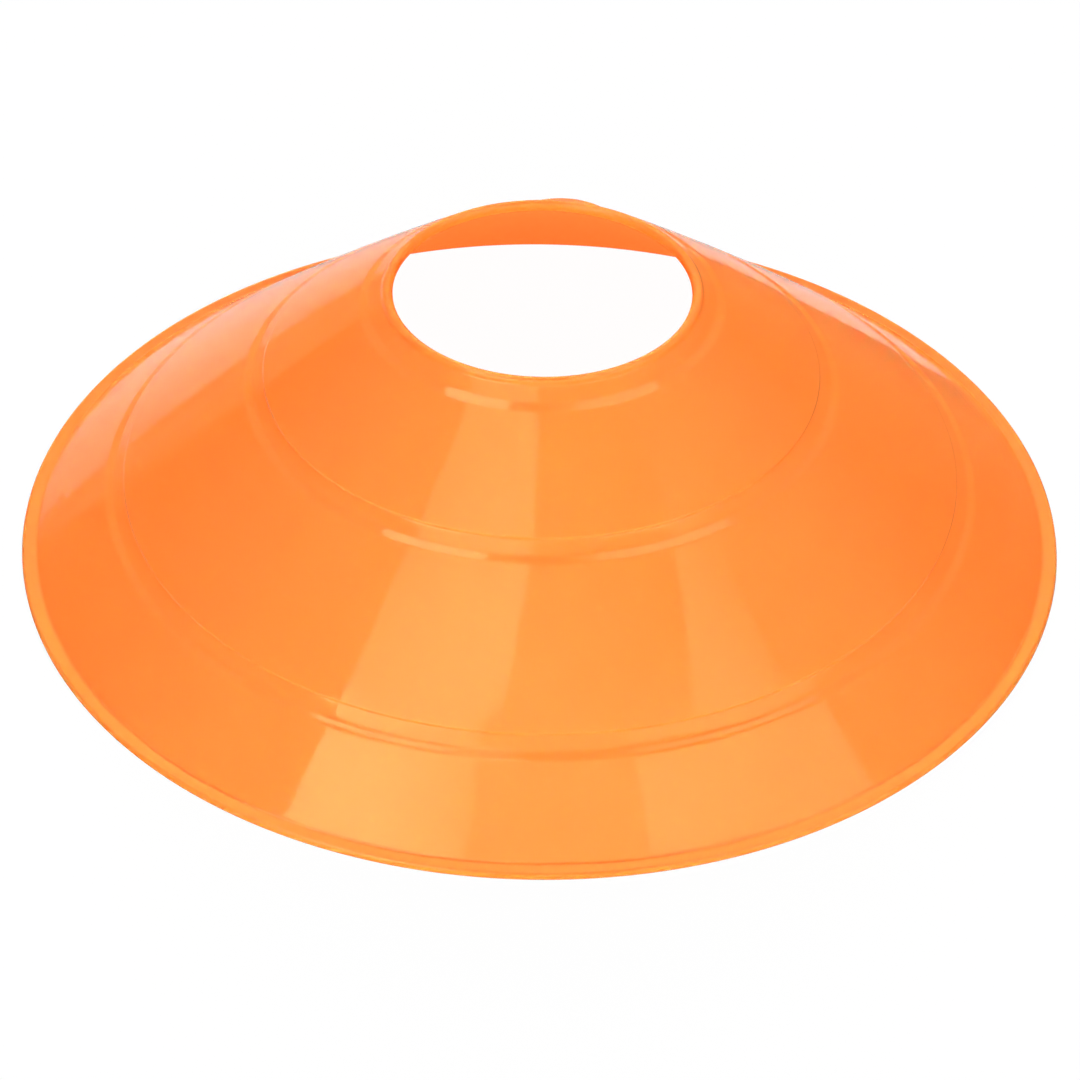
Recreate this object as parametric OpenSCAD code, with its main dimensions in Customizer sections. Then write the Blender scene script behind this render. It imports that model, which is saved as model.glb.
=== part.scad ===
// Low disc marker cone: one thin shell of soft plastic, open at the top and at the bottom.
// The origin is the centre of the base circle, on the ground, and +Z is the axis of the shell.

/* [Overall] */
// Diameter over the base rim
base_d = 190; // [130:1:320]
// Height from the ground to the top of the lip
shell_h = 53; // [30:1:90]
// Diameter of the round opening at the top
opening_d = 52.7; // [30:0.1:90]

/* [Wall] */
// Thickness of the wall, square to its face
wall_t = 1.2; // [0.8:0.1:2]
// Outward bulge of the wall, half way up its slant
wall_crown = 0.5; // [0:0.05:1.5]
// Diameter of the bead round the opening, flush with the wall's outer face and proud of its inner one
lip_d = 2; // [1.6:0.1:4]

/* [Base rim] */
// Width of the flat rim that stands out past the foot of the wall
rim_w = 2.7; // [2:0.1:8]
// Thickness of the flat rim
rim_t = 1.3; // [0.8:0.1:3]

/* [Recessed bands] */
// Width of each of the two bands in the middle of the wall, up the slant
band_w = 3.8; // [3:0.1:8]
// Width of the band that runs round just below the lip, up the slant
lip_band_w = 3.6; // [3:0.1:8]
// Depth of the bands below the face of the wall
band_depth = 0.3; // [0.1:0.05:0.5]
// Width of the rounded shoulder that leads down from the wall into a band
shoulder_w = 2.4; // [1:0.1:2.5]
// Angle by which the riser at the upper side of a band leans out from upright
riser_draft = 3; // [0:1:20]

/* [Hidden] */

// Places of the shoulders of the two middle bands, as shares of the slant from the rim up
band_place_shares = [0.218, 0.622];
// Straight pieces that round a shoulder, and that follow the bulge of a plain stretch outside and inside
shoulder_steps = 8;
plain_steps = 4;
inner_steps = 12;
// Roundness of the shell and of the edges in its section
shell_facets = 240;
edge_facets = 48;
shell_color = [1, 0.5, 0.21];

// Where the outer face of the wall meets the top of the rim
foot_r = base_d / 2 - rim_w;
foot_z = rim_t;
// Centre of the round edge of the rim
rim_edge_r = rim_t / 2;
rim_edge_centre_r = base_d / 2 - rim_edge_r;
// Centre of the bead's section
lip_r = lip_d / 2;
lip_centre_r = opening_d / 2 + lip_r;
lip_centre_z = shell_h - lip_r;
// The wall's outer face rises at one slope from the foot and touches the top of the bead
wall_run = foot_r - lip_centre_r;
wall_rise = lip_centre_z - foot_z;
wall_slope = atan2(wall_rise, wall_run) + asin(lip_r / norm([wall_run, wall_rise]));
slant_l = wall_run * cos(wall_slope) + wall_rise * sin(wall_slope);
// Places of all three shoulders up the slant, and the width of the riser's foot
shoulder_places = concat(band_place_shares * slant_l, slant_l - lip_r - lip_band_w);
riser_w = band_depth * tan(wall_slope + riser_draft);
// Slant and radius at which the inner face of the wall reaches the ground
inner_foot = (wall_t * cos(wall_slope) - foot_z) / sin(wall_slope);
inner_foot_r = on_slant(inner_foot, -wall_t)[0];

// Smooth rise from 0 to 1
function ease(t) = (1 - cos(180 * t)) / 2;

// Height of the bulge at a share t of the way up a face
function bulge(t) = 4 * wall_crown * t * (1 - t);

// Section point at a place s up the slant and a height h out from the foot's slant line
function on_slant(s, h) = [
    foot_r - s * cos(wall_slope) + h * sin(wall_slope),
    foot_z + s * sin(wall_slope) + h * cos(wall_slope)
];

// Section point at a place s up the outer face, sunk by a depth below it
function on_face(s, depth) = on_slant(s, bulge(s / slant_l) - depth);

// Section points between the ends of a plain stretch of the outer face
function plain_points(s_low, s_high) = [
    for (i = [1:plain_steps - 1])
        on_face(s_low + (s_high - s_low) * i / plain_steps, 0)
];

// Section points of the rounded shoulder that leads down into a band, centred on s_shoulder
function shoulder_points(s_shoulder) = [
    for (i = [0:shoulder_steps])
        let (t = i / shoulder_steps)
        on_face(s_shoulder + shoulder_w * (t - 1 / 2), band_depth * ease(t))
];

// Section points of the sharp riser that leads back up to the face, its top at s_top
function riser_points(s_top) = [
    on_face(s_top - riser_w, band_depth),
    on_face(s_top, 0)
];

// The band below the lip has no riser: its floor runs on into the bead
outer_face = [
    on_slant(0, 0),
    for (i = [0:len(shoulder_places) - 1])
        each concat(
            plain_points(i == 0 ? 0 : shoulder_places[i - 1] + band_w, shoulder_places[i] - shoulder_w / 2),
            shoulder_points(shoulder_places[i]),
            i < len(band_place_shares) ? riser_points(shoulder_places[i] + band_w) : []
        ),
    on_face(slant_l, band_depth)
];

inner_face = [
    for (i = [inner_steps:-1:0])
        let (t = i / inner_steps)
        on_slant(inner_foot + (slant_l - inner_foot) * t, bulge(t) - wall_t)
];

// Section of the wall, from its inner face to its outer face
module wall_section() {
    polygon(concat(outer_face, inner_face));
}

// Section of the flat rim, from under the wall to its round outer edge
module rim_section() {
    rim_start_r = min(inner_foot_r, foot_r);
    translate([rim_start_r, 0])
        square([rim_edge_centre_r - rim_start_r, rim_t]);
    translate([rim_edge_centre_r, rim_edge_r])
        circle(r = rim_edge_r, $fn = edge_facets);
}

// Section of the bead round the opening
module lip_section() {
    translate([lip_centre_r, lip_centre_z])
        circle(r = lip_r, $fn = edge_facets);
}

// The shell, one moulding: wall, rim and lip
module cone_shell() {
    color(shell_color)
        rotate_extrude($fn = shell_facets)
            union() {
                wall_section();
                rim_section();
                lip_section();
            }
}

cone_shell();
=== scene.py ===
"""Disc marker cone: one thin shell of soft moulded plastic, on a pale floor in studio light."""

import logging
import math
from dataclasses import dataclass
from enum import Enum
from typing import Optional, Sequence, Union

import bpy
from mathutils import Matrix, Vector


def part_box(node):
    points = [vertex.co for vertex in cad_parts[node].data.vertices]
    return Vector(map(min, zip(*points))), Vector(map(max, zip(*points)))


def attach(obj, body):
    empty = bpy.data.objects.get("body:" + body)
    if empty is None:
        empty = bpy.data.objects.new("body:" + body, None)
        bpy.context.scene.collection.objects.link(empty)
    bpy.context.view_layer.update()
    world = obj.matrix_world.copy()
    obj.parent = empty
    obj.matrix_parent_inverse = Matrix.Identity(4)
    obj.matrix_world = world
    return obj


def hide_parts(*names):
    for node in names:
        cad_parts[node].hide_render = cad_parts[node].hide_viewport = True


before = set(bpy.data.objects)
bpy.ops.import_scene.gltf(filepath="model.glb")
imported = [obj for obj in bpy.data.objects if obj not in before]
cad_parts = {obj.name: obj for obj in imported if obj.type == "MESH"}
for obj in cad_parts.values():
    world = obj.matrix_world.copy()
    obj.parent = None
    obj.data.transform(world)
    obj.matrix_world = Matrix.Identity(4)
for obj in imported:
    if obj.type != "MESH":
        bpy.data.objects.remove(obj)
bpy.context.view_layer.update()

LOG = logging.getLogger("disc_marker")
MM = 0.001
TOLERANCE = 1e-6
PANEL_HEIGHT = 1.2

Socket = bpy.types.NodeSocket
Value = Union[float, int, Sequence[float], Socket]
Point = tuple[float, float]
Place = tuple[float, float, float]
Colour = tuple[float, float, float, float]

WHITE: Colour = (1.0, 1.0, 1.0, 1.0)


class NodeMaker:
    """Adds nodes to one tree and links them, so that a tree reads as a list of steps."""

    def __init__(self, tree: bpy.types.NodeTree) -> None:
        """Starts on an empty tree.

        Args:
            tree: The shader or geometry tree that receives the nodes.
        """
        self.tree = tree
        tree.nodes.clear()

    def add(self, kind: str, **settings: object) -> bpy.types.Node:
        """Adds one node and sets its properties.

        Args:
            kind: The type name of the node.
            **settings: Properties of the node, by name.

        Returns:
            The new node.
        """
        node = self.tree.nodes.new(kind)
        for name, value in settings.items():
            setattr(node, name, value)
        return node

    def feed(self, node: bpy.types.Node, **inputs: Value) -> bpy.types.Node:
        """Sets or links inputs of a node by their names, with spaces written as underscores.

        Args:
            node: The node whose inputs are fed.
            **inputs: A number, a vector or an output socket for each input.

        Returns:
            The same node.
        """
        for name, value in inputs.items():
            self.put(self.pick(node.inputs, name.replace("_", " ")), value)
        return node

    @staticmethod
    def pick(sockets: Sequence[Socket], name: str) -> Socket:
        """Returns the first enabled socket of that name."""
        return next(socket for socket in sockets if socket.name == name and socket.enabled)

    def put(self, socket: Socket, value: Value) -> None:
        """Links an output to the socket, or sets it to a plain value.

        Args:
            socket: The input to fill.
            value: An output socket, a number or a vector.
        """
        if isinstance(value, bpy.types.NodeSocket):
            self.tree.links.new(value, socket)
        else:
            socket.default_value = value

    def math(self, operation: str, first: Value, second: Value = 0.0, third: Value = 0.0) -> Socket:
        """Adds a Math node.

        Args:
            operation: The node's operation.
            first: First value.
            second: Second value, where the operation has one.
            third: Third value, where the operation has one.

        Returns:
            The result's socket.
        """
        node = self.add("ShaderNodeMath", operation=operation)
        for socket, value in zip(node.inputs, (first, second, third)):
            self.put(socket, value)
        return node.outputs[0]

    def vector(self, operation: str, first: Value, second: Optional[Value] = None) -> Socket:
        """Adds a Vector Math node with a vector result.

        Args:
            operation: The node's operation.
            first: First vector.
            second: Second vector, or the factor of a SCALE.

        Returns:
            The result's socket.
        """
        node = self.add("ShaderNodeVectorMath", operation=operation)
        self.put(node.inputs[0], first)
        if second is not None:
            self.put(node.inputs["Scale"] if operation == "SCALE" else node.inputs[1], second)
        return node.outputs["Vector"]

    def length(self, vector: Value) -> Socket:
        """Returns the length of a vector."""
        node = self.add("ShaderNodeVectorMath", operation="LENGTH")
        self.put(node.inputs[0], vector)
        return node.outputs["Value"]

    def split(self, place: Value) -> tuple[Socket, bpy.types.Node]:
        """Splits a place into its parts, and makes one without its height.

        Args:
            place: The place to split.

        Returns:
            The place with its height left out, and the node that gives its three parts.
        """
        parts = self.feed(self.add("ShaderNodeSeparateXYZ"), Vector=place)
        level = self.add("ShaderNodeCombineXYZ")
        self.put(level.inputs[0], parts.outputs[0])
        self.put(level.inputs[1], parts.outputs[1])
        return level.outputs[0], parts

    def smooth(self, value: Value, low: Value, high: Value, start: Value = 0.0,
               end: Value = 1.0) -> Socket:
        """Adds a smooth step from start to end as the value goes from low to high.

        Args:
            value: The value that drives the step.
            low: Where the step starts.
            high: Where the step ends.
            start: Result below the step.
            end: Result above the step.

        Returns:
            The result's socket.
        """
        node = self.add("ShaderNodeMapRange", interpolation_type="SMOOTHSTEP")
        for socket, given in zip(node.inputs, (value, low, high, start, end)):
            self.put(socket, given)
        return node.outputs[0]

    def noise(self, place: Value, scale: Value, detail: Value = 2.0, seed: Value = 0.0) -> Socket:
        """Adds a four-dimensional noise, whose fourth coordinate is the seed.

        Args:
            place: Coordinates of the pattern.
            scale: Waves per metre.
            detail: Octaves.
            seed: Fixed seed.

        Returns:
            The noise's value, about 0 to 1.
        """
        node = self.add("ShaderNodeTexNoise", noise_dimensions="4D")
        self.feed(node, Vector=place, W=seed, Scale=scale, Detail=detail)
        return node.outputs[0]


class Edge(Enum):
    """How far the rounding of a corner of the section reaches."""

    BROKEN = 0.15 * MM
    MOULDED = 0.4 * MM


@dataclass(frozen=True)
class PhotoCamera:
    """The camera of the photograph, fitted to the circles of the shell. Metres and radians."""

    distance: float = 0.667744
    elevation: float = 0.67316
    aim_x: float = 0.0000765
    aim_z: float = -0.0040239
    roll: float = 0.01152
    lens_mm: float = 120.0
    sensor_mm: float = 36.0

    def build(self) -> bpy.types.Object:
        """Places the camera and makes it the scene's.

        Returns:
            The camera object.
        """
        data = bpy.data.cameras.new("photo_camera")
        data.lens = self.lens_mm
        data.sensor_width = self.sensor_mm
        camera = bpy.data.objects.new("photo_camera", data)
        bpy.context.scene.collection.objects.link(camera)
        back = self.distance * math.cos(self.elevation)
        rise = self.distance * math.sin(self.elevation)
        camera.matrix_world = (
            Matrix.Translation((self.aim_x, -back, self.aim_z + rise))
            @ Matrix.Rotation(math.pi / 2 - self.elevation, 4, "X")
            @ Matrix.Rotation(self.roll, 4, "Z")
        )
        bpy.context.scene.camera = camera
        return camera


class PanelRole(Enum):
    """What a studio panel does.

    A lamp lights the object and shows in its gloss. A mirrored panel only shows there, an unseen
    one only lights, and a glow does both but casts no shadow.
    """

    LAMP = "lamp"
    MIRRORED = "mirrored"
    UNSEEN = "unseen"
    GLOW = "glow"


def round_panel(radius: float, height: float, count: int = 96) -> tuple[Place, ...]:
    """Returns the corners of a level, nearly round panel about the axis."""
    turns = (2 * math.pi * i / count for i in range(count))
    return tuple((radius * math.cos(turn), radius * math.sin(turn), height) for turn in turns)


def overhead(*shares: Point, height: float = PANEL_HEIGHT) -> tuple[Place, ...]:
    """Returns the corners of a level panel, from (x, y) shares of its height above the floor."""
    return tuple((x * height, y * height, height) for x, y in shares)


def lying(*places: Point, height: float = 0.4 * MM) -> tuple[Place, ...]:
    """Returns the corners of a sheet that lies just above the floor, from its (x, y) places."""
    return tuple((x, y, height) for x, y in places)


def even(radiance: float) -> tuple[float, float]:
    """Returns the two ends of a brightness that stays the same."""
    return radiance, radiance


@dataclass(frozen=True)
class SoftPanel:
    """A flat diffusing lamp or card of straight-sided outline.

    Attributes:
        name: Name of the panel.
        corners: Its corners in order.
        radiance: Its brightness at the start and the end of its run, where 1 is a white surface in
            full light.
        run: Two places between which the brightness changes evenly.
        role: Whether it lights the object, shows in its gloss, or both.
        colour: Colour of its light.
    """

    name: str
    corners: tuple[Place, ...]
    radiance: tuple[float, float]
    run: tuple[Place, Place] = ((0.0, 0.0, 0.0), (0.0, 0.0, 1.0))
    role: PanelRole = PanelRole.LAMP
    colour: Colour = WHITE

    def build(self) -> bpy.types.Object:
        """Builds the panel as a glowing mesh that the camera doesn't see.

        Returns:
            The panel's object.
        """
        mesh = bpy.data.meshes.new(self.name)
        mesh.from_pydata(self.corners, [], [tuple(range(len(self.corners)))])
        mesh.materials.append(self.material())
        panel = bpy.data.objects.new(self.name, mesh)
        bpy.context.scene.collection.objects.link(panel)
        panel.visible_camera = False
        panel.visible_diffuse = self.role is not PanelRole.MIRRORED
        panel.visible_glossy = self.role is not PanelRole.UNSEEN
        panel.visible_shadow = self.role in (PanelRole.LAMP, PanelRole.UNSEEN)
        return panel

    def material(self) -> bpy.types.Material:
        """Makes the glow, which runs evenly from one brightness to the other.

        Returns:
            The panel's material.
        """
        material = bpy.data.materials.new(self.name)
        material.use_nodes = True
        make = NodeMaker(material.node_tree)
        start, end = (Vector(place) for place in self.run)
        way = end - start
        place = make.add("ShaderNodeTexCoord").outputs["Object"]
        dot = make.add("ShaderNodeVectorMath", operation="DOT_PRODUCT")
        make.put(dot.inputs[0], make.vector("SUBTRACT", place, start))
        make.put(dot.inputs[1], way / way.length_squared)
        ramp = make.add("ShaderNodeMapRange")
        for socket, value in zip(ramp.inputs, (dot.outputs["Value"], 0.0, 1.0, *self.radiance)):
            make.put(socket, value)
        emission = make.add("ShaderNodeEmission")
        make.feed(emission, Color=self.colour, Strength=ramp.outputs[0])
        output = make.add("ShaderNodeOutputMaterial")
        make.put(output.inputs["Surface"], emission.outputs[0])
        return material


@dataclass(frozen=True)
class StudioFloor:
    """A pale paper floor that is white to the eye and takes a faint shadow.

    Attributes:
        half_width: Half its side.
        whiteness: How much light it gives back to the lamps and in the gloss.
        eye_share: Share of plain white that the camera sees in place of the paper.
        eye_glow: Brightness of that white.
    """

    half_width: float = 3.0
    whiteness: float = 0.43
    eye_share: float = 0.96
    eye_glow: float = 1.018

    def build(self) -> bpy.types.Object:
        """Builds the floor.

        Returns:
            The floor's object.
        """
        mesh = bpy.data.meshes.new("studio_floor")
        half = self.half_width
        corners = [(-half, -half, 0), (half, -half, 0), (half, half, 0), (-half, half, 0)]
        mesh.from_pydata(corners, [], [(0, 1, 2, 3)])
        mesh.materials.append(self.material())
        floor = bpy.data.objects.new("studio_floor", mesh)
        bpy.context.scene.collection.objects.link(floor)
        return floor

    def material(self) -> bpy.types.Material:
        """Makes the paper: diffuse to the lamps and in the gloss, mostly plain white to the eye.

        Returns:
            The floor's material.
        """
        material = bpy.data.materials.new("studio_paper")
        material.use_nodes = True
        make = NodeMaker(material.node_tree)
        white = (self.whiteness, self.whiteness, self.whiteness, 1.0)
        paper = make.feed(make.add("ShaderNodeBsdfDiffuse"), Color=white)
        glow = make.feed(make.add("ShaderNodeEmission"), Color=WHITE, Strength=self.eye_glow)
        rays = make.add("ShaderNodeLightPath")
        seen = make.math("MULTIPLY", rays.outputs["Is Camera Ray"], self.eye_share)
        mix = make.add("ShaderNodeMixShader")
        make.put(mix.inputs[0], seen)
        make.put(mix.inputs[1], paper.outputs[0])
        make.put(mix.inputs[2], glow.outputs[0])
        output = make.add("ShaderNodeOutputMaterial")
        make.put(output.inputs["Surface"], mix.outputs[0])
        return material


@dataclass(frozen=True)
class Studio:
    """Floor, soft panels and the even light of a white room.

    Attributes:
        room_light: Light that comes evenly from all sides.
        ceiling_gloss: Brightness that the ceiling adds in the gloss.
        ceiling_span: Upward parts of a direction between which the ceiling comes in.
        floor: The floor.
        panels: The lamps and cards.
    """

    room_light: float = 0.07
    ceiling_gloss: float = 0.7
    ceiling_span: tuple[float, float] = (0.2, 0.8)
    floor: StudioFloor = StudioFloor()
    panels: tuple[SoftPanel, ...] = (
        SoftPanel(
            "panel_left",
            overhead((-0.53, -0.20), (-0.511, -0.284), (-0.75, -0.432), (-0.58, -0.53),
                     (-0.46, -0.57), (-0.34, -0.605), (-0.23, -0.622), (-0.125, -0.615),
                     (-0.04, -0.50), (-0.012, -0.42), (-0.08, -0.20)),
            radiance=(2.4, 3.7),
            run=((0.0, -0.42, PANEL_HEIGHT), (0.0, -0.66, PANEL_HEIGHT)),
            role=PanelRole.MIRRORED,
        ),
        SoftPanel(
            "panel_left_low",
            overhead((-0.75, -0.432), (-1.52, -0.91), (-1.02, -1.24), (-0.38, -1.38),
                     (-0.27, -0.85), (-0.24, -0.74), (-0.20, -0.64), (-0.23, -0.622),
                     (-0.34, -0.605), (-0.46, -0.57), (-0.58, -0.53)),
            radiance=(3.4, 5.4),
            run=((-0.30, -0.74, PANEL_HEIGHT), (-0.62, -0.74, PANEL_HEIGHT)),
            role=PanelRole.MIRRORED,
        ),
        SoftPanel(
            "panel_left_back",
            overhead((-0.41, 0.40), (-0.45, 0.16), (-0.555, -0.01), (-0.56, -0.08), (-0.47, -0.14),
                     (-0.38, -0.175), (-0.30, -0.205), (-0.22, -0.22), (-0.17, -0.12),
                     (-0.14, 0.0), (-0.26, 0.40)),
            radiance=even(5.5),
            role=PanelRole.MIRRORED,
        ),
        SoftPanel(
            "panel_right",
            overhead((0.63, -0.17), (0.66, -0.30), (0.58, -0.53), (0.73, -0.455), (0.88, -0.37),
                     (1.0, -0.285), (0.85, -0.20), (0.70, -0.15)),
            radiance=(0.7, 2.6),
            run=((0.0, -0.22, PANEL_HEIGHT), (0.0, -0.50, PANEL_HEIGHT)),
            role=PanelRole.MIRRORED,
        ),
        SoftPanel(
            "panel_right_low",
            overhead((0.34, -0.61), (0.58, -0.53), (0.73, -0.455), (0.88, -0.37), (0.98, -0.31),
                     (1.08, -0.24), (1.13, -0.205), (2.00, -0.52), (2.00, -0.72), (1.55, -1.02),
                     (1.03, -1.25), (0.64, -1.36), (0.41, -0.76)),
            radiance=(3.3, 2.4),
            run=((0.50, -0.74, PANEL_HEIGHT), (1.20, -0.74, PANEL_HEIGHT)),
            role=PanelRole.MIRRORED,
        ),
        SoftPanel(
            "panel_right_back",
            overhead((0.15, 0.02), (0.20, -0.20), (0.30, -0.205), (0.42, -0.155), (0.62, -0.04),
                     (0.72, 0.04), (0.70, 0.10), (0.56, 0.27), (0.50, 0.42), (0.20, 0.40)),
            radiance=even(3.2),
            role=PanelRole.MIRRORED,
        ),
        SoftPanel(
            "panel_middle",
            overhead((-0.012, -0.42), (-0.04, -0.50), (-0.125, -0.615), (-0.20, -0.64),
                     (-0.24, -0.74), (-0.27, -0.85), (0.45, -0.85), (0.41, -0.76), (0.34, -0.61),
                     (0.58, -0.53), (0.66, -0.30), (0.63, -0.17), (0.42, -0.15), (0.30, -0.20),
                     (0.20, -0.195), (0.15, 0.02), (0.18, 0.40), (-0.06, 0.40), (-0.05, 0.0)),
            radiance=(0.6, 1.8),
            run=((0.0, -0.50, PANEL_HEIGHT), (0.0, -0.80, PANEL_HEIGHT)),
        ),
        SoftPanel(
            "panel_middle_low",
            overhead((-0.02, -0.85), (0.45, -0.85), (0.64, -1.36), (-0.02, -1.40)),
            radiance=even(1.8),
            role=PanelRole.MIRRORED,
        ),
        SoftPanel(
            "panel_front",
            ((-0.55, -1.42, 0.22), (0.60, -1.38, 0.22), (0.60, -1.25, 0.95), (-0.55, -1.29, 0.95)),
            radiance=even(13.6),
            role=PanelRole.UNSEEN,
        ),
        SoftPanel(
            "panel_back",
            ((-1.20, 3.10, 0.30), (1.05, 3.25, 0.30), (1.05, 3.05, 2.00), (-1.20, 2.90, 2.00)),
            radiance=even(25.0),
            role=PanelRole.UNSEEN,
        ),
        SoftPanel(
            "card_left",
            ((-1.79, 1.74, 0.18), (-0.60, 2.45, 0.18), (-0.60, 2.45, 0.75), (-1.68, 1.85, 0.75)),
            radiance=(0.38, 0.66),
            run=((0.0, 0.0, 0.25), (0.0, 0.0, 0.45)),
            role=PanelRole.MIRRORED,
            colour=(1.0, 0.78, 0.48, 1.0),
        ),
        SoftPanel(
            "card_left_foot",
            ((-1.83, 1.70, 0.0), (-0.60, 2.45, 0.0), (-0.60, 2.45, 0.18), (-1.79, 1.74, 0.18)),
            radiance=(0.20, 0.52),
            run=((0.0, 0.0, 0.0), (0.0, 0.0, 0.18)),
            role=PanelRole.MIRRORED,
            colour=(1.0, 0.85, 0.62, 1.0),
        ),
        SoftPanel(
            "card_back",
            ((-0.60, 2.45, 0.0), (0.35, 2.45, 0.0), (0.35, 2.45, 1.1), (-0.60, 2.45, 1.1)),
            radiance=even(0.9),
            role=PanelRole.MIRRORED,
        ),
        SoftPanel(
            "card_rim",
            ((-0.50, 1.90, 1.60), (0.50, 1.90, 1.60), (0.50, 1.90, 2.30), (-0.50, 1.90, 2.30)),
            radiance=(2.2, 5.2),
            run=((0.0, 1.90, 1.72), (0.0, 1.90, 1.90)),
            role=PanelRole.MIRRORED,
            colour=(1.0, 0.90, 0.34, 1.0),
        ),
        SoftPanel(
            "hollow_glow",
            round_panel(91.9 * MM, 0.05 * MM),
            radiance=even(1.3),
            role=PanelRole.GLOW,
            colour=(1.0, 0.23, 0.045, 1.0),
        ),
        SoftPanel(
            "flag_right",
            ((0.40, 1.20, 0.0), (1.30, 0.75, 0.0), (1.30, 0.75, 0.35), (0.40, 1.20, 0.35)),
            radiance=even(0.08),
            role=PanelRole.MIRRORED,
        ),
        SoftPanel(
            "sheet_left",
            lying((-0.342, 0.940), (-0.866, 0.500), (-2.08, 1.20), (-1.83, 1.70), (-0.82, 2.25)),
            radiance=even(0.3),
            role=PanelRole.MIRRORED,
            colour=(1.0, 0.85, 0.62, 1.0),
        ),
        SoftPanel(
            "sheet_right",
            lying((0.0831, 0.0460), (0.0922, 0.0247), (0.0951, 0.0083), (0.13, -0.02),
                  (1.30, -0.10), (1.30, 1.20), (0.052, 1.20), (0.055, 0.23), (0.065, 0.160),
                  (0.0733, 0.103)),
            radiance=even(0.08),
            role=PanelRole.MIRRORED,
        ),
    )

    def build(self) -> None:
        """Builds the floor, the panels and the world."""
        self.floor.build()
        for panel in self.panels:
            panel.build()
        world = bpy.data.worlds.new("white_room")
        world.use_nodes = True
        make = NodeMaker(world.node_tree)
        direction = make.add("ShaderNodeTexCoord").outputs["Generated"]
        upward = make.feed(make.add("ShaderNodeSeparateXYZ"), Vector=direction).outputs[2]
        ceiling = make.smooth(upward, *self.ceiling_span, 0.0, self.ceiling_gloss)
        rays = make.add("ShaderNodeLightPath")
        seen = make.math("MULTIPLY", ceiling, rays.outputs["Is Glossy Ray"])
        light = make.add("ShaderNodeBackground")
        make.feed(light, Color=WHITE, Strength=make.math("ADD", seen, self.room_light))
        make.put(make.add("ShaderNodeOutputWorld").inputs["Surface"], light.outputs[0])
        bpy.context.scene.world = world
        bpy.context.scene.view_settings.view_transform = "Standard"


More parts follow.
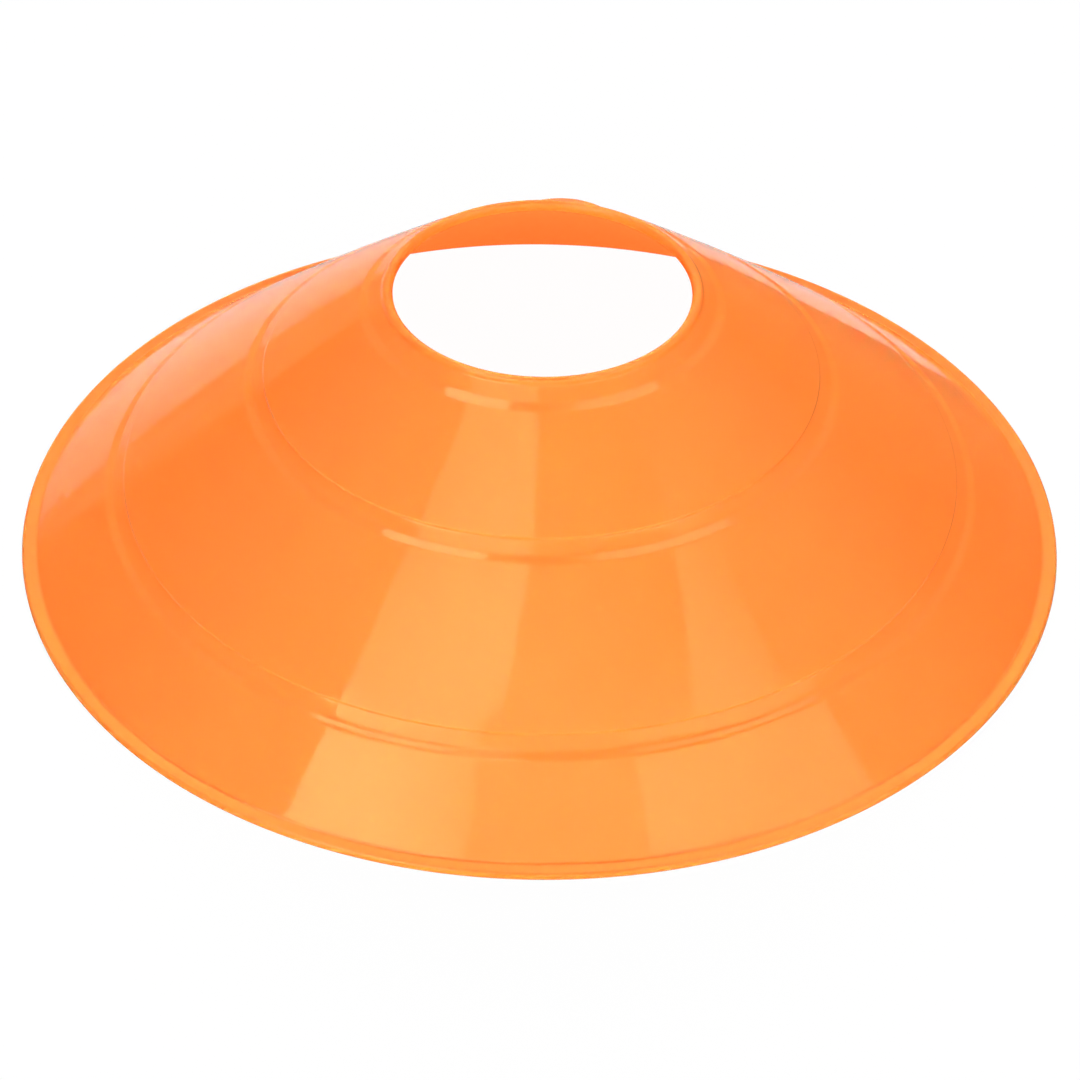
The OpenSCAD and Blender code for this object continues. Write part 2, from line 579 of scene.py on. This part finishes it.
@dataclass(frozen=True)
class ShellSection:
    """Section of the shell through its axis, as (radius, height) in metres.

    The wall's outer face rises from the foot in one slope with a slight bulge. Three shallow bands
    are sunk into it: two end upwards in a sharp riser, and the top one runs on into the bead of the
    lip. The steps and the guard set how close its points lie.
    """

    base_radius: float
    height: float
    opening_radius: float = 26.35 * MM
    wall: float = 1.2 * MM
    crown: float = 0.5 * MM
    bead_radius: float = 1.0 * MM
    rim_width: float = 2.7 * MM
    rim_thickness: float = 1.3 * MM
    band_width: float = 3.8 * MM
    lip_band_width: float = 3.6 * MM
    band_depth: float = 0.3 * MM
    shoulder_width: float = 2.4 * MM
    riser_width: float = 0.38 * MM
    band_shares: tuple[float, float] = (0.218, 0.622)
    step: float = 2.2 * MM
    fine_step: float = 0.25 * MM
    guard: float = 0.12 * MM
    bead_blend: float = 0.45 * MM
    bead_steps: int = 28
    shoulder_steps: int = 14
    riser_steps: int = 6
    rim_edge_steps: int = 16
    rim_top_steps: int = 3
    foot_steps: int = 8

    @property
    def foot(self) -> Point:
        """Where the outer face meets the top of the rim."""
        return self.base_radius - self.rim_width, self.rim_thickness

    @property
    def bead_centre(self) -> Point:
        """Centre of the bead round the opening."""
        return self.opening_radius + self.bead_radius, self.height - self.bead_radius

    @property
    def slope(self) -> float:
        """Angle of the outer face above the ground."""
        run = self.foot[0] - self.bead_centre[0]
        rise = self.bead_centre[1] - self.foot[1]
        return math.atan2(rise, run) + math.asin(self.bead_radius / math.hypot(run, rise))

    @property
    def slant(self) -> float:
        """Length of the outer face from the foot to the bead."""
        run = self.foot[0] - self.bead_centre[0]
        rise = self.bead_centre[1] - self.foot[1]
        return run * math.cos(self.slope) + rise * math.sin(self.slope)

    @property
    def shoulders(self) -> tuple[float, ...]:
        """Places of the three shoulders up the slant."""
        top = self.slant - self.bead_radius - self.lip_band_width
        return tuple(share * self.slant for share in self.band_shares) + (top,)

    def on_slant(self, place: float, lift: float) -> Point:
        """Returns the point at a place up the slant and a lift off the foot's slant line."""
        across, up = math.cos(self.slope), math.sin(self.slope)
        return self.foot[0] - place * across + lift * up, self.foot[1] + place * up + lift * across

    def bulge(self, share: float) -> float:
        """Returns the height of the bulge at a share of the way up."""
        return 4 * self.crown * share * (1 - share)

    def depth(self, place: float) -> float:
        """Returns how far the outer face is sunk at a place up the slant."""
        sunk = 0.0
        for index, shoulder in enumerate(self.shoulders):
            sunk += ease((place - shoulder) / self.shoulder_width + 0.5)
            if index < len(self.band_shares):
                sunk -= ease((place - shoulder - self.band_width) / self.riser_width + 1)
        return self.band_depth * sunk

    def outer_places(self) -> list[float]:
        """Lists the places up the slant at which the outer face gets a point.

        Returns:
            Rising places, close together on shoulders and risers and wider on plain stretches.
        """
        half = self.shoulder_width / 2
        stops = [Edge.MOULDED.value, Edge.MOULDED.value + self.guard]
        for index, shoulder in enumerate(self.shoulders):
            stops += spaced(stops[-1], shoulder - half - self.guard, self.step)[1:]
            stops += [shoulder - half]
            fine = self.shoulder_width / self.shoulder_steps
            stops += spaced(shoulder - half, shoulder + half, fine)[1:]
            if index < len(self.band_shares):
                top = shoulder + self.band_width
                stops += spaced(stops[-1], top - self.riser_width, self.fine_step * 2)[1:]
                fine = self.riser_width / self.riser_steps
                stops += spaced(top - self.riser_width, top, fine)[1:]
                stops += [top + self.guard]
        end = self.slant - self.bead_radius * math.cos(self.bead_start) - self.bead_blend
        return stops + spaced(stops[-1], end, self.fine_step)[1:]

    @property
    def bead_start(self) -> float:
        """Angle on the bead, from the way down the slant, at which the band's floor meets it."""
        return math.asin((self.bead_radius - self.band_depth) / self.bead_radius)

    @property
    def bead_end(self) -> float:
        """Angle on the bead at which the inner face meets it."""
        return 2 * math.pi - math.asin((self.wall - self.bead_radius) / self.bead_radius)

    def on_bead(self, angle: float) -> Point:
        """Returns the bead's point at an angle from the way down the slant, turning outwards."""
        reach = self.bead_radius
        return self.on_slant(self.slant - reach * math.cos(angle), reach * math.sin(angle) - reach)

    def inner_point(self, place: float) -> Point:
        """Returns the inner face's section point at a place up the slant."""
        start = self.inner_foot
        return self.on_slant(place, self.bulge((place - start) / (self.slant - start)) - self.wall)

    @property
    def inner_foot(self) -> float:
        """Place up the slant at which the inner face reaches the ground."""
        return (self.wall * math.cos(self.slope) - self.foot[1]) / math.sin(self.slope)

    def points(self) -> list[Point]:
        """Lists the whole section, anticlockwise from the fillet at the foot.

        Returns:
            Points of one closed loop.
        """
        outer = [self.on_slant(place, self.bulge(place / self.slant) - self.depth(place))
                 for place in self.outer_places()]
        turn = self.bead_blend / self.bead_radius
        start, end = self.bead_start + turn, self.bead_end - turn
        bead = [self.on_bead(start + (end - start) * i / self.bead_steps)
                for i in range(self.bead_steps + 1)]
        inner_top = self.slant - self.bead_radius * math.cos(self.bead_end) - self.bead_blend
        inner_places = spaced(self.inner_foot + Edge.MOULDED.value, inner_top, self.step)
        inner = [self.inner_point(place) for place in reversed(inner_places)]
        foot_inner = self.inner_point(self.inner_foot)
        edge = self.rim_edge()
        rim_out, rim_in = edge[-1][0], self.foot[0] + Edge.MOULDED.value
        rim_top = [(rim_out + (rim_in - rim_out) * i / self.rim_top_steps, self.rim_thickness)
                   for i in range(1, self.rim_top_steps + 1)]
        return (
            outer
            + rounded(outer[-1], self.on_bead(self.bead_start), bead[0])
            + bead
            + rounded(bead[-1], self.on_bead(self.bead_end), inner[0])
            + inner
            + rounded(inner[-1], foot_inner, (foot_inner[0] + Edge.BROKEN.value, 0.0))
            + [(foot_inner[0] + Edge.BROKEN.value, 0.0)]
            + edge
            + rim_top
            + rounded(rim_top[-1], self.foot, outer[0], steps=self.foot_steps)
        )

    def rim_edge(self) -> list[Point]:
        """Lists the half circle of the rim's outer edge.

        Returns:
            Points from the ground to the top of the rim.
        """
        radius = self.rim_thickness / 2
        centre = self.base_radius - radius
        angles = (math.pi * (i / self.rim_edge_steps - 0.5) for i in range(self.rim_edge_steps + 1))
        return [(centre + radius * math.cos(angle), radius + radius * math.sin(angle))
                for angle in angles]


def ease(share: float) -> float:
    """Returns a smooth rise from 0 to 1 as the share goes from 0 to 1."""
    share = min(max(share, 0.0), 1.0)
    return (1 - math.cos(math.pi * share)) / 2


def spaced(start: float, end: float, step: float) -> list[float]:
    """Returns even places from start to end, no further apart than about one step."""
    count = max(1, math.ceil((end - start) / step - TOLERANCE))
    return [start + (end - start) * i / count for i in range(count + 1)]


def rounded(first: Point, corner: Point, last: Point, steps: int = 4) -> list[Point]:
    """Lists points that round a corner, without its two ends.

    Args:
        first: Where the rounding starts.
        corner: The sharp corner.
        last: Where the rounding ends.
        steps: Straight pieces in the rounding.

    Returns:
        The points between the ends.
    """
    found = []
    for i in range(1, steps):
        t = i / steps
        weights = ((1 - t) ** 2, 2 * t * (1 - t), t * t)
        found.append(tuple(
            sum(weight * point[axis] for weight, point in zip(weights, (first, corner, last)))
            for axis in (0, 1)
        ))
    return found


@dataclass(frozen=True)
class Lump:
    """A low rounded lump on the shell, such as the mark that the gate of the mould leaves.

    Attributes:
        azimuth: Its direction round the axis, in degrees from -Y towards +X.
        radius: Its distance from the axis.
        half_length: Half its length round the axis.
        half_width: Half its width up the slant.
        rise: How far it stands off the face.
    """

    azimuth: float
    radius: float
    half_length: float
    half_width: float
    rise: float


@dataclass(frozen=True)
class DiscLathe:
    """Geometry Nodes that turn a section round the axis and give it the small faults of a moulding.

    Attributes:
        facets: Steps round the axis.
        ring_radius: Radius of the circle that the section is swept along.
        warp: Greatest wander of the wall.
        warp_scale: Waves of the wander per metre.
        warp_start: Height, in thicknesses of the rim, at which the wall wanders in full.
        lump_span: Upward parts of the normal between which a lump comes in, so that the underside
            keeps its form.
        seed: Seed of the wander.
        lumps: Raised marks on the shell.
    """

    facets: int = 460
    ring_radius: float = 60 * MM
    warp: float = 0.05 * MM
    warp_scale: float = 22.0
    warp_start: float = 6.0
    lump_span: tuple[float, float] = (0.2, 0.6)
    seed: int = 7
    lumps: tuple[Lump, ...] = (
        Lump(azimuth=170.5, radius=29.3 * MM, half_length=7.4 * MM, half_width=1.5 * MM,
             rise=0.95 * MM),
    )

    def lump_tree(self) -> bpy.types.NodeTree:
        """Builds the node group that raises one lump.

        Returns:
            The group, with named inputs for the lump's place and sizes.
        """
        tree = bpy.data.node_groups.new("surface_lump", "GeometryNodeTree")
        face = tree.interface
        face.new_socket("Geometry", in_out="INPUT", socket_type="NodeSocketGeometry")
        for name in ("Azimuth", "Radius", "Half Length", "Half Width", "Rise", "Wall Slope"):
            face.new_socket(name, in_out="INPUT", socket_type="NodeSocketFloat")
        face.new_socket("Geometry", in_out="OUTPUT", socket_type="NodeSocketGeometry")
        make = NodeMaker(tree)
        given = make.add("NodeGroupInput")
        slope = given.outputs["Wall Slope"]
        flat, parts = make.split(make.add("GeometryNodeInputPosition").outputs[0])
        radius = make.length(flat)
        forward = make.math("MULTIPLY", parts.outputs[1], -1.0)
        around = make.math("ARCTAN2", parts.outputs[0], forward)
        turn = make.math("SUBTRACT", around, given.outputs["Azimuth"])
        turn = make.math("WRAP", turn, math.pi, -math.pi)
        along = make.math("MULTIPLY", turn, radius)
        along = make.math("DIVIDE", along, given.outputs["Half Length"])
        out = make.math("SUBTRACT", radius, given.outputs["Radius"])
        out = make.math("DIVIDE", out, make.math("COSINE", slope))
        across = make.math("DIVIDE", out, given.outputs["Half Width"])
        squares = (make.math("MULTIPLY", along, along), make.math("MULTIPLY", across, across))
        dome = make.math("SUBTRACT", 1.0, make.math("ADD", *squares))
        dome = make.math("MAXIMUM", dome, 0.0)
        normal = make.add("GeometryNodeInputNormal").outputs[0]
        upward = make.feed(make.add("ShaderNodeSeparateXYZ"), Vector=normal).outputs[2]
        push = make.math("MULTIPLY", dome, make.smooth(upward, *self.lump_span))
        push = make.math("MULTIPLY", push, given.outputs["Rise"])
        offset = make.vector("SCALE", self.slope_normal(make, flat, slope), push)
        moved = make.add("GeometryNodeSetPosition")
        make.feed(moved, Geometry=given.outputs["Geometry"], Offset=offset)
        make.put(make.add("NodeGroupOutput").inputs[0], moved.outputs[0])
        return tree

    @staticmethod
    def slope_normal(make: NodeMaker, flat: Socket, slope: Value) -> Socket:
        """Gives the direction square to the slope of the wall.

        Args:
            make: The tree's maker.
            flat: The point's place with its height left out.
            slope: Angle of the wall above the ground.

        Returns:
            A unit vector that leans outwards.
        """
        lean = make.vector("SCALE", make.vector("NORMALIZE", flat), make.math("SINE", slope))
        rise = make.add("ShaderNodeCombineXYZ")
        make.put(rise.inputs[2], make.math("COSINE", slope))
        return make.vector("ADD", lean, rise.outputs[0])

    def tree(self) -> bpy.types.NodeTree:
        """Builds the lathe.

        Returns:
            The tree, whose geometry input is the closed section in the XY plane.
        """
        tree = bpy.data.node_groups.new("disc_lathe", "GeometryNodeTree")
        face = tree.interface
        face.new_socket("Geometry", in_out="INPUT", socket_type="NodeSocketGeometry")
        face.new_socket("Facets", in_out="INPUT", socket_type="NodeSocketInt")
        for name in ("Ring Radius", "Warp", "Warp Scale", "Wall Slope", "Rim Height"):
            face.new_socket(name, in_out="INPUT", socket_type="NodeSocketFloat")
        face.new_socket("Seed", in_out="INPUT", socket_type="NodeSocketInt")
        face.new_socket("Material", in_out="INPUT", socket_type="NodeSocketMaterial")
        face.new_socket("Geometry", in_out="OUTPUT", socket_type="NodeSocketGeometry")
        make = NodeMaker(tree)
        given = make.add("NodeGroupInput")
        profile = make.add("GeometryNodeMeshToCurve")
        make.put(profile.inputs["Mesh"], given.outputs["Geometry"])
        shift = make.add("ShaderNodeCombineXYZ")
        make.put(shift.inputs[0], make.math("MULTIPLY", given.outputs["Ring Radius"], -1.0))
        moved = make.feed(make.add("GeometryNodeTransform"), Geometry=profile.outputs[0],
                          Translation=shift.outputs[0], Scale=(1.0, -1.0, 1.0))
        circle = make.add("GeometryNodeCurvePrimitiveCircle", mode="RADIUS")
        make.feed(circle, Resolution=given.outputs["Facets"], Radius=given.outputs["Ring Radius"])
        upright = make.add("GeometryNodeSetCurveNormal", mode="Z_UP")
        make.put(upright.inputs["Curve"], circle.outputs[0])
        turned = make.add("GeometryNodeCurveToMesh")
        make.put(turned.inputs["Curve"], upright.outputs[0])
        make.put(turned.inputs["Profile Curve"], moved.outputs[0])
        outwards = make.add("GeometryNodeFlipFaces")
        make.put(outwards.inputs["Mesh"], turned.outputs[0])
        shell = self.warped(make, given, outwards.outputs[0])
        group = self.lump_tree()
        for lump in self.lumps:
            node = make.add("GeometryNodeGroup", node_tree=group)
            make.feed(node, Geometry=shell, Azimuth=math.radians(lump.azimuth),
                      Radius=lump.radius, Half_Length=lump.half_length,
                      Half_Width=lump.half_width, Rise=lump.rise,
                      Wall_Slope=given.outputs["Wall Slope"])
            shell = node.outputs[0]
        smooth = make.add("GeometryNodeSetShadeSmooth")
        make.put(smooth.inputs[0], shell)
        real = make.feed(make.add("GeometryNodeRealizeInstances"), Geometry=smooth.outputs[0])
        dressed = make.add("GeometryNodeSetMaterial")
        make.put(dressed.inputs["Geometry"], real.outputs[0])
        make.put(dressed.inputs["Material"], given.outputs["Material"])
        make.put(make.add("NodeGroupOutput").inputs[0], dressed.outputs[0])
        return tree

    def warped(self, make: NodeMaker, given: bpy.types.Node, shell: Socket) -> Socket:
        """Lets the wall wander a few hundredths of a millimetre, and leaves the rim flat.

        Args:
            make: The tree's maker.
            given: The tree's input node.
            shell: The turned shell.

        Returns:
            The warped shell.
        """
        place = make.add("GeometryNodeInputPosition").outputs[0]
        flat, parts = make.split(place)
        wave = make.noise(place, given.outputs["Warp Scale"], detail=1.0,
                          seed=given.outputs["Seed"])
        high = make.math("MULTIPLY", given.outputs["Rim Height"], self.warp_start)
        free = make.smooth(parts.outputs[2], given.outputs["Rim Height"], high)
        push = make.math("MULTIPLY", make.math("SUBTRACT", wave, 1.0), given.outputs["Warp"])
        push = make.math("MULTIPLY", push, free)
        out = self.slope_normal(make, flat, given.outputs["Wall Slope"])
        moved = make.add("GeometryNodeSetPosition")
        make.feed(moved, Geometry=shell, Offset=make.vector("SCALE", out, push))
        return moved.outputs[0]

    def turn(self, section: ShellSection, material: bpy.types.Material) -> bpy.types.Mesh:
        """Turns the section into the finished mesh.

        Args:
            section: The section to turn.
            material: The finish of the whole shell.

        Returns:
            A plain mesh, closed and with its faces outwards.
        """
        points = section.points()
        outline = bpy.data.meshes.new("disc_section")
        loop = [(i, (i + 1) % len(points)) for i in range(len(points))]
        outline.from_pydata([(r, z, 0.0) for r, z in points], loop, [])
        holder = bpy.data.objects.new("disc_section", outline)
        bpy.context.scene.collection.objects.link(holder)
        modifier = holder.modifiers.new("disc_lathe", "NODES")
        tree = self.tree()
        modifier.node_group = tree
        wanted = {
            "Facets": self.facets, "Ring Radius": self.ring_radius, "Warp": self.warp,
            "Warp Scale": self.warp_scale, "Wall Slope": section.slope,
            "Rim Height": section.rim_thickness, "Seed": self.seed, "Material": material,
        }
        for item in tree.interface.items_tree:
            if item.in_out == "INPUT" and item.name in wanted:
                modifier[item.identifier] = wanted[item.name]
        graph = bpy.context.evaluated_depsgraph_get()
        mesh = bpy.data.meshes.new_from_object(holder.evaluated_get(graph), depsgraph=graph)
        holder.modifiers.remove(modifier)
        bpy.data.objects.remove(holder)
        return mesh


@dataclass(frozen=True)
class MouldedPlastic:
    """Glossy soft polyethylene: a deep dye, light in the wall, fine ripples and light scuffs.

    Sizes are in metres, and each scale counts a pattern's waves per metre.

    Attributes:
        dye: The deeper colour of the plastic.
        pale_dye: The paler one, where the melt has clouded.
        cloud_scale: Scale of the clouds.
        cloud_span: Noise values between which a cloud comes in.
        fleck_scale: Scale of the fine flecks.
        fleck_share: How far the flecks shift the colour.
        shine_tint: Tint of the mirrored light.
        ior: Index of refraction.
        roughness: Roughness of the clean face.
        rub_scale: Scale of the rubbed patches.
        rub_span: Noise values between which a patch comes in.
        rub_rise: Roughness that a patch adds.
        haze_scale: Scale of the fine haze.
        haze_rise: Roughness that the haze adds.
        light_share: Share of the light that goes into the wall.
        light_reach: How far red, green and blue light go in it.
        ripple_radius: Distance from the axis at which the rings near the foot start.
        ripple_fade: Width over which they come in.
        ripple_pitch: Distance from ring to ring.
        ripple_height: Height of the rings.
        ripple_wander: How far the rings stray.
        ripple_wander_scale: Scale of the straying.
        grain_scale: Scale of the fine grain.
        grain_height: Height of the grain.
        seed: Seed of the first pattern; the others follow it.
    """

    dye: tuple[float, float, float] = (1.0, 0.228, 0.034)
    pale_dye: tuple[float, float, float] = (1.0, 0.242, 0.038)
    cloud_scale: float = 16.0
    cloud_span: tuple[float, float] = (0.3, 0.7)
    fleck_scale: float = 900.0
    fleck_share: float = 0.2
    shine_tint: Colour = (1.0, 0.85, 0.40, 1.0)
    ior: float = 1.5
    roughness: float = 0.045
    rub_scale: float = 45.0
    rub_span: tuple[float, float] = (0.45, 0.75)
    rub_rise: float = 0.03
    haze_scale: float = 1500.0
    haze_rise: float = 0.02
    light_share: float = 1.0
    light_reach: tuple[float, float, float] = (2.5 * MM, 1.2 * MM, 0.6 * MM)
    ripple_radius: float = 84 * MM
    ripple_fade: float = 4 * MM
    ripple_pitch: float = 1.6 * MM
    ripple_height: float = 4e-6
    ripple_wander: float = 0.8 * MM
    ripple_wander_scale: float = 18.0
    grain_scale: float = 700.0
    grain_height: float = 1.2e-6
    seed: float = 3.0

    def build(self) -> bpy.types.Material:
        """Makes the material.

        Returns:
            The material, with its pattern on Object coordinates.
        """
        material = bpy.data.materials.new("moulded_plastic")
        material.use_nodes = True
        make = NodeMaker(material.node_tree)
        place = make.add("ShaderNodeTexCoord").outputs["Object"]
        shader = make.add("ShaderNodeBsdfPrincipled")
        make.feed(shader, Base_Color=self.colour(make, place), Roughness=self.gloss(make, place),
                  Normal=self.relief(make, place), IOR=self.ior, Specular_Tint=self.shine_tint,
                  Subsurface_Weight=self.light_share, Subsurface_Radius=self.light_reach,
                  Subsurface_Scale=1.0)
        output = make.add("ShaderNodeOutputMaterial")
        make.put(output.inputs["Surface"], shader.outputs[0])
        return material

    def colour(self, make: NodeMaker, place: Socket) -> Socket:
        """Gives the dye, which clouds a little where the melt has flowed.

        Args:
            make: The tree's maker.
            place: Object coordinates.

        Returns:
            The colour.
        """
        cloud = make.noise(place, self.cloud_scale, detail=3.0, seed=self.seed)
        fleck = make.noise(place, self.fleck_scale, detail=2.0, seed=self.seed + 1)
        share = make.math("ADD", make.smooth(cloud, *self.cloud_span),
                          make.math("MULTIPLY", fleck, self.fleck_share))
        mix = make.add("ShaderNodeMix", data_type="RGBA")
        make.put(mix.inputs[0], share)
        make.put(mix.inputs[6], (*self.dye, 1.0))
        make.put(mix.inputs[7], (*self.pale_dye, 1.0))
        return mix.outputs[2]

    def gloss(self, make: NodeMaker, place: Socket) -> Socket:
        """Gives the roughness, with faint rubbed patches.

        Args:
            make: The tree's maker.
            place: Object coordinates.

        Returns:
            The roughness.
        """
        rub = make.noise(place, self.rub_scale, detail=4.0, seed=self.seed + 2)
        haze = make.noise(place, self.haze_scale, detail=2.0, seed=self.seed + 3)
        rough = make.math("MULTIPLY_ADD", make.smooth(rub, *self.rub_span), self.rub_rise,
                          self.roughness)
        return make.math("MULTIPLY_ADD", haze, self.haze_rise, rough)

    def relief(self, make: NodeMaker, place: Socket) -> Socket:
        """Gives the small relief of the surface: rings near the foot and a fine grain.

        Args:
            make: The tree's maker.
            place: Object coordinates.

        Returns:
            The bumped normal.
        """
        radius = make.length(make.split(place)[0])
        stray = make.noise(place, self.ripple_wander_scale, detail=1.0, seed=self.seed + 4)
        stray = make.math("MULTIPLY", stray, self.ripple_wander)
        phase = make.math("MULTIPLY", make.math("ADD", radius, stray),
                          2 * math.pi / self.ripple_pitch)
        near = make.smooth(radius, self.ripple_radius, self.ripple_radius + self.ripple_fade)
        rings = make.math("MULTIPLY", make.math("SINE", phase), near)
        rings = make.math("MULTIPLY", rings, self.ripple_height)
        grain = make.noise(place, self.grain_scale, detail=2.0, seed=self.seed + 5)
        height = make.math("ADD", rings, make.math("MULTIPLY", grain, self.grain_height))
        bump = make.add("ShaderNodeBump")
        make.feed(bump, Strength=1.0, Distance=1.0, Height=height)
        return bump.outputs[0]


@dataclass(frozen=True)
class DiscShell:
    """The marker: one moulding, with its rim, wall, bands and beaded lip."""

    section: ShellSection
    lathe: DiscLathe = DiscLathe()
    finish: MouldedPlastic = MouldedPlastic()

    def build(self) -> bpy.types.Object:
        """Builds the shell, dresses it and puts it in the place of the CAD solid.

        Returns:
            The finished piece.
        """
        mesh = self.lathe.turn(self.section, self.finish.build())
        mesh.name = "disc_shell"
        shell = bpy.data.objects.new("disc_shell", mesh)
        bpy.context.scene.collection.objects.link(shell)
        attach(shell, "root")
        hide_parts("cone_shell")
        return shell


def main() -> None:
    """Builds the camera, the studio and the marker, and reports the piece."""
    logging.basicConfig(level=logging.INFO, format="%(name)s: %(message)s")
    PhotoCamera().build()
    Studio().build()
    low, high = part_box("cone_shell")
    reach = min(-low[0], -low[1], high[0], high[1])
    section = ShellSection(base_radius=float(reach), height=float(high[2]))
    shell = DiscShell(section).build()
    mesh = shell.data
    LOG.info("%s: %d points, %d faces", shell.name, len(mesh.vertices), len(mesh.polygons))


if __name__ == "__main__":
    main()
